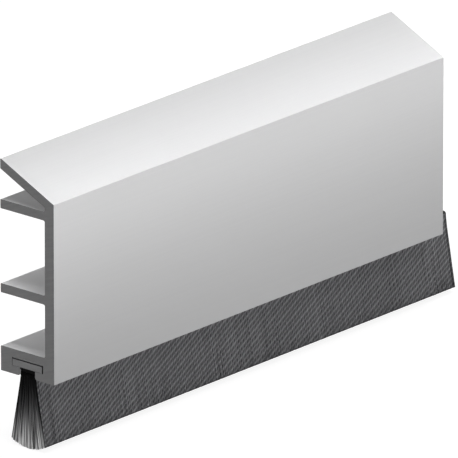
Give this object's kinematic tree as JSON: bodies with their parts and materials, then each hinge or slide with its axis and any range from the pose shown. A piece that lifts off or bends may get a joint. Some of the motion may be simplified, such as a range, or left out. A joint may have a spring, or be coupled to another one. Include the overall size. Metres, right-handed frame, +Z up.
{
  "type": "brush door sweep",
  "caption": "Cut length of a door sweep: extruded profile with a sloping weather leg, rear fins and a T-slot that holds a sliding brush strip.",
  "frame": {"origin": "middle of the bottom leg's rear face, in the plane of the rear tips that bears on the door, half way along the profile", "axes": "+X along the sweep, towards the end where the brush stands out; +Y into the door, so the show face looks towards -Y; +Z up"},
  "size_m": [0.1061, 0.0118, 0.0499],
  "materials": {
    "anodised_aluminium": "satin natural anodised",
    "strip_plastic": "extruded grey plastic",
    "bristle_nylon": "black nylon filament"
  },
  "bodies": {
    "profile": {"profile": "anodised_aluminium"},
    "brush": {"backing_strip": "strip_plastic", "bristles": "bristle_nylon"}
  },
  "joints": [
    {"name": "brush_slide", "type": "slide", "parent": "profile", "child": "brush", "axis": [1, 0, 0], "range_m": [-0.09, 0.09]}
  ]
}
